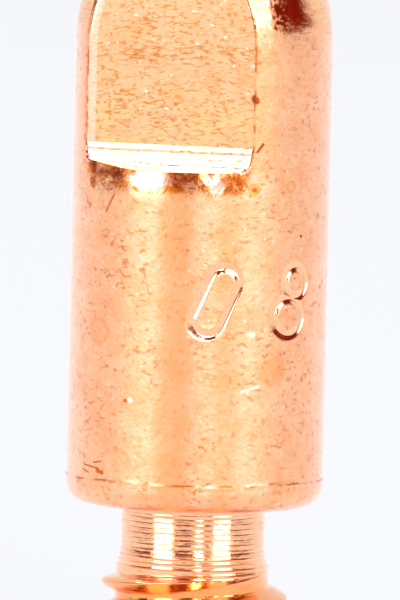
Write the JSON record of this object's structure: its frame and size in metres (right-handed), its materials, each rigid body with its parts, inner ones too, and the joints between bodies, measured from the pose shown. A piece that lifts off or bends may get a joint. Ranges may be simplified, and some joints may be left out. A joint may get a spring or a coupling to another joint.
{
  "type": "welding contact tip",
  "caption": "Turned copper contact tip for a wire welding torch: threaded shank, round body, two milled spanner flats and a tapered nose around a fine wire bore.",
  "frame": {"origin": "centre of the thread end face, on the wire bore's axis", "axes": "+Z along the wire bore from the thread end to the nose, -Y out of one spanner flat and +Y out of the other"},
  "size_m": [0.008, 0.008, 0.028],
  "materials": {
    "copper": "satin as-drawn bar with turned neck and milled flats"
  },
  "bodies": {
    "root": {"contact_tip": "copper"}
  },
  "joints": []
}
